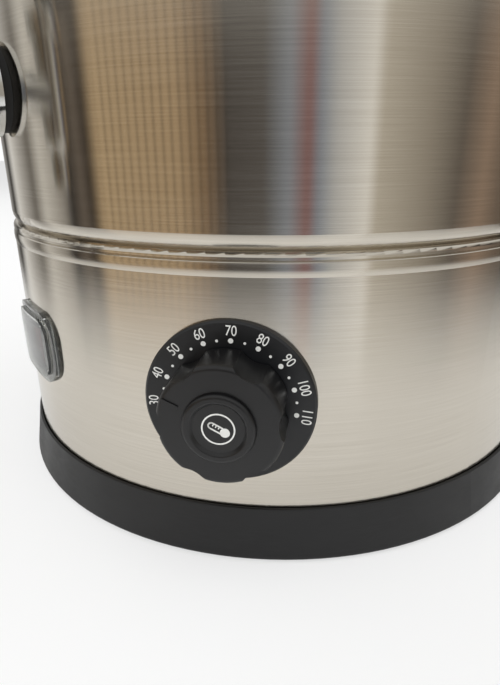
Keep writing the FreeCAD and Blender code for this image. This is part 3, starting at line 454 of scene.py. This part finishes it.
# How steeply a mirrored direction climbs where the room gives way to the light overhead
OVERHEAD_FROM = (0.15, 0.55)
SOFT_LEVEL = 0.55

# Each lamp's place and size in metres, and its power in watts
LAMPS = {
    "window_light": ((0.9, -1.3, 1.5), (1.4, 1.4), 22),
    "fill_light": ((-1.4, -0.6, 1.1), (1.2, 1.2), 8),
    "top_light": ((0.3, 0.4, 1.9), (1.6, 1.6), 12),
}
LAMP_AIM = Vector((0, 0, 0.2))


def white_table():
    """White laminate, lit by the lamps and by some white of its own that only the camera sees"""
    material, tree, shader = new_material("white_table")
    feed(tree, shader, {"Base Color": linear("#F4F4F3"), "Roughness": 0.9})
    point = add(tree, "ShaderNodeTexCoord").outputs["Object"]
    distance = add(tree, "ShaderNodeVectorMath", {0: point}, operation="LENGTH").outputs["Value"]
    far = add(tree, "ShaderNodeMapRange", {
        "Value": distance, "From Min": TABLE_OPENS[0], "From Max": TABLE_OPENS[1]}).outputs["Result"]
    path = add(tree, "ShaderNodeLightPath").outputs
    opened = add(tree, "ShaderNodeMath", {0: far, 1: path["Is Glossy Ray"]}, operation="MULTIPLY")
    glow = add(tree, "ShaderNodeEmission", {"Color": linear("#FFFFFF"), "Strength": 1.0}).outputs[0]
    clear = add(tree, "ShaderNodeBsdfTransparent").outputs[0]
    shown = add(tree, "ShaderNodeMath", {0: path["Is Camera Ray"], 1: TABLE_GLOW}, operation="MULTIPLY")
    lit = add(tree, "ShaderNodeMixShader", {0: shown.outputs[0], 1: shader.outputs[0], 2: glow}).outputs[0]
    seen = add(tree, "ShaderNodeMixShader", {0: opened.outputs[0], 1: lit, 2: clear}).outputs[0]
    tree.links.new(seen, tree.nodes["Material Output"].inputs["Surface"])
    return material


def table_top():
    mesh = bpy.data.meshes.new("table_top")
    shape = bmesh.new()
    bmesh.ops.create_grid(shape, x_segments=1, y_segments=1, size=TABLE_REACH)
    shape.to_mesh(mesh)
    shape.free()
    table = bpy.data.objects.new("table_top", mesh)
    bpy.context.scene.collection.objects.link(table)
    paint(table, white_table())


def slat_shade(tree, turn):
    """Full light, but darker in the gaps between the slats, by the direction round the room"""
    waves = add(tree, "ShaderNodeMath", {0: turn, 1: math.tau / math.radians(SLAT_PITCH)},
                operation="MULTIPLY").outputs[0]
    wave = add(tree, "ShaderNodeMath", {0: waves}, operation="SINE").outputs[0]
    gap = add(tree, "ShaderNodeMapRange", {
        "Value": wave, "From Min": SLAT_EDGES[0], "From Max": SLAT_EDGES[1], "To Min": 1.0,
        "To Max": SLAT_SHADE}).outputs["Result"]
    middle = math.radians((SLATS[0] + SLATS[1]) / 2)
    half = math.radians((SLATS[1] - SLATS[0]) / 2)
    on_slats = add(tree, "ShaderNodeMath", {0: turn, 1: middle, 2: half}, operation="COMPARE").outputs[0]
    return add(tree, "ShaderNodeMix", {"Factor": on_slats, "A": 1.0, "B": gap}).outputs["Result"]


def mirrored_room(tree):
    """What the steel mirrors: the tones round the room, with the light overhead above them"""
    direction = add(tree, "ShaderNodeTexCoord").outputs["Generated"]
    parts = add(tree, "ShaderNodeSeparateXYZ", {0: direction}).outputs
    front = add(tree, "ShaderNodeMath", {0: parts["Y"], 1: -1.0}, operation="MULTIPLY").outputs[0]
    turn = add(tree, "ShaderNodeMath", {0: parts["X"], 1: front}, operation="ARCTAN2").outputs[0]
    place = add(tree, "ShaderNodeMapRange", {
        "Value": turn, "From Min": -math.pi, "From Max": math.pi}).outputs["Result"]
    stops = [((degrees + 180) / 360, colour) for degrees, colour in ROOM]
    tone = add(tree, "ShaderNodeValToRGB", {"Fac": place}, stops).outputs["Color"]
    round_room = add(tree, "ShaderNodeBackground", {"Color": tone, "Strength": slat_shade(tree, turn)})
    overhead = add(tree, "ShaderNodeBackground", {"Color": linear("#E4E4E2"), "Strength": 1.0})
    high = add(tree, "ShaderNodeMapRange", {
        "Value": parts["Z"], "From Min": OVERHEAD_FROM[0], "From Max": OVERHEAD_FROM[1]})
    return add(tree, "ShaderNodeMixShader", {
        0: high.outputs["Result"], 1: round_room.outputs[0], 2: overhead.outputs[0]}).outputs[0]


def room():
    """White to the camera and through silicone, the mirrored room to steel, and soft light otherwise"""
    world = bpy.data.worlds.new("room")
    bpy.context.scene.world = world
    world.use_nodes = True
    tree = world.node_tree
    tree.nodes.clear()
    path = add(tree, "ShaderNodeLightPath").outputs
    soft = add(tree, "ShaderNodeBackground", {"Color": linear("#F2F3F5"), "Strength": SOFT_LEVEL}).outputs[0]
    white = add(tree, "ShaderNodeBackground", {"Color": linear("#FFFFFF"), "Strength": 1.0}).outputs[0]
    lit = add(tree, "ShaderNodeMixShader", {
        0: path["Is Glossy Ray"], 1: soft, 2: mirrored_room(tree)}).outputs[0]
    shown = add(tree, "ShaderNodeMath", {
        0: path["Is Camera Ray"], 1: path["Is Transmission Ray"]}, operation="MAXIMUM").outputs[0]
    seen = add(tree, "ShaderNodeMixShader", {0: shown, 1: lit, 2: white}).outputs[0]
    add(tree, "ShaderNodeOutputWorld", {"Surface": seen})


def lamp(name, place, size, power):
    """A soft panel of light, kept from mirror rays, because the steel would show it as a pale patch"""
    light = bpy.data.lights.new(name, "AREA")
    light.shape = "RECTANGLE"
    light.size, light.size_y = size
    light.energy = power
    panel = bpy.data.objects.new(name, light)
    panel.location = place
    panel.rotation_euler = (LAMP_AIM - Vector(place)).to_track_quat("-Z", "Y").to_euler()
    panel.visible_glossy = False
    bpy.context.scene.collection.objects.link(panel)


def camera():
    turn = Matrix.Rotation(CAMERA_AZIMUTH, 3, "Z")
    forward = turn @ Vector((
        math.sin(CAMERA_YAW) * math.cos(CAMERA_PITCH), math.cos(CAMERA_YAW) * math.cos(CAMERA_PITCH),
        -math.sin(CAMERA_PITCH),
    ))
    level = turn @ Vector((math.cos(CAMERA_YAW), -math.sin(CAMERA_YAW), 0))
    above = level.cross(forward)
    right = math.cos(CAMERA_ROLL) * level + math.sin(CAMERA_ROLL) * above
    up = -math.sin(CAMERA_ROLL) * level + math.cos(CAMERA_ROLL) * above
    place = turn @ Vector((0, -CAMERA_DISTANCE, CAMERA_HEIGHT))
    data = bpy.data.cameras.new("camera")
    data.sensor_width = SENSOR
    data.lens = CAMERA_FOCAL_PIXELS / PHOTO_HEIGHT * SENSOR
    data.clip_start = 0.01
    eye = bpy.data.objects.new("camera", data)
    eye.matrix_world = Matrix.Translation(place) @ Matrix((right, up, -forward)).transposed().to_4x4()
    bpy.context.scene.collection.objects.link(eye)
    bpy.context.scene.camera = eye


camera()
dress_nodes()
dial_dots()
dial_numbers()
knob_sign()
table_top()
room()
for name, (place, size, power) in LAMPS.items():
    lamp(name, place, size, power)
bpy.context.scene.view_settings.view_transform = "Standard"
